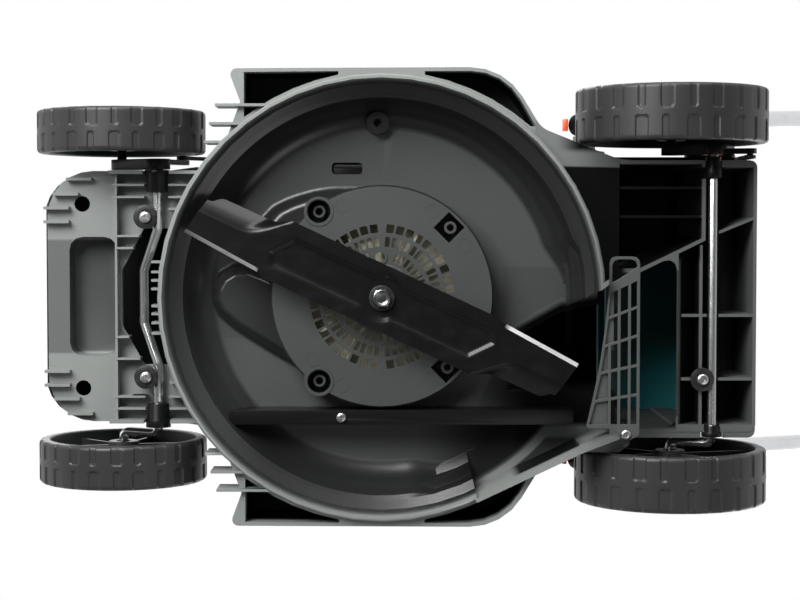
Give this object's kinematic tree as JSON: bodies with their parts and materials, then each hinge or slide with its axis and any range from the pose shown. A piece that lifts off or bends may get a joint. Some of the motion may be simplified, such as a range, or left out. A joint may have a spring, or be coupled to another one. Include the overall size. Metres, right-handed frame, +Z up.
{
  "type": "electric lawn mower",
  "caption": "Corded rotary lawn mower: round blade chamber, rear discharge duct with flap, small wheels on linked height-setting axles, motor hood and folding handle.",
  "frame": {"origin": "centre of the bounding box on the floor under the wheels", "axes": "+X towards the rear and the handle, +Y to the mower's right seen from behind, +Z up"},
  "size_m": [1.2056, 0.4104, 0.9611],
  "materials": {
    "grey_plastic": "satin",
    "teal_plastic": "semi-gloss",
    "black_plastic": "matte",
    "tyre_plastic": "matte",
    "cream_plastic": "matte",
    "orange_plastic": "gloss",
    "black_steel": "semi-gloss",
    "bright_steel": "bright zinc",
    "chromed_steel": "bright",
    "silver_tube": "satin",
    "motor_steel": "bare",
    "copper_wire": "lacquered",
    "cast_aluminium": "as cast",
    "foam": "matte"
  },
  "bodies": {
    "deck": {"deck_shell": "grey_plastic", "motor_hood": "teal_plastic", "carry_handle": "black_plastic", "motor_plate": "grey_plastic", "motor_bracket": "cast_aluminium", "motor_can": "motor_steel", "stator_core": "motor_steel", "stator_winding": "copper_wire", "lower_bearing": "bright_steel", "upper_bearing": "bright_steel", "volute_insert": "black_plastic", "discharge_grille": "grey_plastic", "grille_screw": "bright_steel", "volute_screw": "bright_steel", "front_axle_washer_left": "black_steel", "front_axle_washer_right": "black_steel", "rear_axle_washer": "black_steel", "front_axle_screw_left": "bright_steel", "front_axle_screw_right": "bright_steel", "rear_axle_screw": "bright_steel", "front_bush_left": "black_plastic", "front_bush_right": "black_plastic", "rear_bush_left": "black_plastic", "rear_bush_right": "black_plastic", "flap_pin": "bright_steel", "lever_rack": "black_steel"},
    "spindle": {"motor_shaft": "bright_steel", "rotor_core": "motor_steel", "cooling_fan": "cream_plastic", "blade_hub": "cast_aluminium", "cutting_blade": "black_steel", "blade_washer": "black_steel", "blade_bolt": "bright_steel"},
    "front_axle": {"front_axle_rod": "chromed_steel", "front_axle_arm": "black_plastic"},
    "rear_axle": {"rear_axle_rod": "chromed_steel", "rear_axle_arm": "black_plastic"},
    "height_link": {"height_link": "black_steel"},
    "height_lever": {"height_lever": "black_steel", "lever_knob": "orange_plastic"},
    "adjuster_rod": {"adjuster_rod": "black_steel"},
    "front_wheel_left": {"front_wheel_left": "tyre_plastic"},
    "front_wheel_right": {"front_wheel_right": "tyre_plastic"},
    "rear_wheel_left": {"rear_wheel_left": "tyre_plastic"},
    "rear_wheel_right": {"rear_wheel_right": "tyre_plastic"},
    "rear_flap": {"rear_flap": "teal_plastic"},
    "lower_handle": {"lower_tube_left": "silver_tube", "lower_tube_right": "silver_tube", "handle_foot_left": "black_plastic", "handle_foot_right": "black_plastic"},
    "upper_handle": {"upper_tube": "silver_tube", "foam_grip": "foam", "switch_box": "black_plastic"},
    "handle_latch_left": {"handle_latch_left": "orange_plastic"},
    "handle_latch_right": {"handle_latch_right": "orange_plastic"},
    "quick_lever_left": {"quick_lever_left": "orange_plastic"},
    "quick_lever_right": {"quick_lever_right": "orange_plastic"},
    "bail_lever": {"bail_lever": "black_plastic"},
    "start_button": {"start_button": "orange_plastic"}
  },
  "joints": [
    {"name": "blade_spin", "type": "hinge", "parent": "deck", "child": "spindle", "pos_m": [-0.3138, 0, 0.026], "axis": [0, 0, 1], "continuous": true},
    {"name": "height_lever_turn", "type": "hinge", "parent": "deck", "child": "height_lever", "pos_m": [-0.0365, -0.1206, 0.156], "axis": [0, -1, 0], "range_deg": [0, 63.5]},
    {"name": "front_axle_turn", "type": "hinge", "parent": "deck", "child": "front_axle", "pos_m": [-0.5005, 0, 0.05], "axis": [0, -1, 0], "range_deg": [0, 63.5]},
    {"name": "rear_axle_turn", "type": "hinge", "parent": "deck", "child": "rear_axle", "pos_m": [-0.0365, 0, 0.061], "axis": [0, -1, 0], "range_deg": [0, 63.5]},
    {"name": "height_link_turn", "type": "hinge", "parent": "rear_axle", "child": "height_link", "pos_m": [-0.01861, -0.1165, 0.08991], "axis": [0, -1, 0], "range_deg": [-63.5, 0]},
    {"name": "adjuster_rod_turn", "type": "hinge", "parent": "height_lever", "child": "adjuster_rod", "pos_m": [-0.00761, -0.1165, 0.14793], "axis": [0, -1, 0], "range_deg": [-63.5, 0]},
    {"name": "front_wheel_left_spin", "type": "hinge", "parent": "front_axle", "child": "front_wheel_left", "pos_m": [-0.53281, -0.1375, 0.07], "axis": [0, 1, 0], "continuous": true},
    {"name": "rear_wheel_left_spin", "type": "hinge", "parent": "rear_axle", "child": "rear_wheel_left", "pos_m": [-0.06881, -0.1515, 0.081], "axis": [0, 1, 0], "continuous": true},
    {"name": "front_wheel_right_spin", "type": "hinge", "parent": "front_axle", "child": "front_wheel_right", "pos_m": [-0.53281, 0.1375, 0.07], "axis": [0, 1, 0], "continuous": true},
    {"name": "rear_wheel_right_spin", "type": "hinge", "parent": "rear_axle", "child": "rear_wheel_right", "pos_m": [-0.06881, 0.1515, 0.081], "axis": [0, 1, 0], "continuous": true},
    {"name": "rear_flap_lift", "type": "hinge", "parent": "deck", "child": "rear_flap", "pos_m": [-0.1073, 0, 0.26], "axis": [0, -1, 0], "range_deg": [0, 80], "stiffness_Nm_per_rad": 0.15, "springref_deg": -34.38},
    {"name": "lower_handle_fold", "type": "hinge", "parent": "deck", "child": "lower_handle", "pos_m": [-0.1338, 0, 0.1696], "axis": [0, -1, 0], "range_deg": [0, 120]},
    {"name": "upper_handle_fold", "type": "hinge", "parent": "lower_handle", "child": "upper_handle", "pos_m": [0.2474, 0, 0.57982], "axis": [0, 1, 0], "range_deg": [0, 150]},
    {"name": "handle_latch_left_turn", "type": "hinge", "parent": "lower_handle", "child": "handle_latch_left", "pos_m": [-0.14994, -0.15, 0.17851], "axis": [0, 1, 0], "range_deg": [0, 25], "stiffness_Nm_per_rad": 0.02, "springref_deg": -22.92},
    {"name": "quick_lever_left_turn", "type": "hinge", "parent": "lower_handle", "child": "quick_lever_left", "pos_m": [0.2474, -0.1998, 0.57982], "axis": [-0.7325, 0, 0.6807], "range_deg": [0, 80]},
    {"name": "handle_latch_right_turn", "type": "hinge", "parent": "lower_handle", "child": "handle_latch_right", "pos_m": [-0.14994, 0.15, 0.17851], "axis": [0, 1, 0], "range_deg": [0, 25], "stiffness_Nm_per_rad": 0.02, "springref_deg": -22.92},
    {"name": "quick_lever_right_turn", "type": "hinge", "parent": "lower_handle", "child": "quick_lever_right", "pos_m": [0.2474, 0.1998, 0.57982], "axis": [0.7325, 0, -0.6807], "range_deg": [0, 80]},
    {"name": "bail_lever_pull", "type": "hinge", "parent": "upper_handle", "child": "bail_lever", "pos_m": [0.53671, 0, 0.89115], "axis": [0, 1, 0], "range_deg": [0, 20.5], "stiffness_Nm_per_rad": 0.6, "springref_deg": -22.92},
    {"name": "start_button_press", "type": "slide", "parent": "upper_handle", "child": "start_button", "axis": [0.7325, 0, -0.6807], "range_m": [0, 0.004], "stiffness_N_per_m": 500, "springref_m": -0.004}
  ],
  "couplings": [
    {"joint": "front_axle_turn", "follows": "height_lever_turn", "ratio": 1},
    {"joint": "rear_axle_turn", "follows": "height_lever_turn", "ratio": 1},
    {"joint": "height_link_turn", "follows": "height_lever_turn", "ratio": -1},
    {"joint": "adjuster_rod_turn", "follows": "height_lever_turn", "ratio": -1}
  ]
}
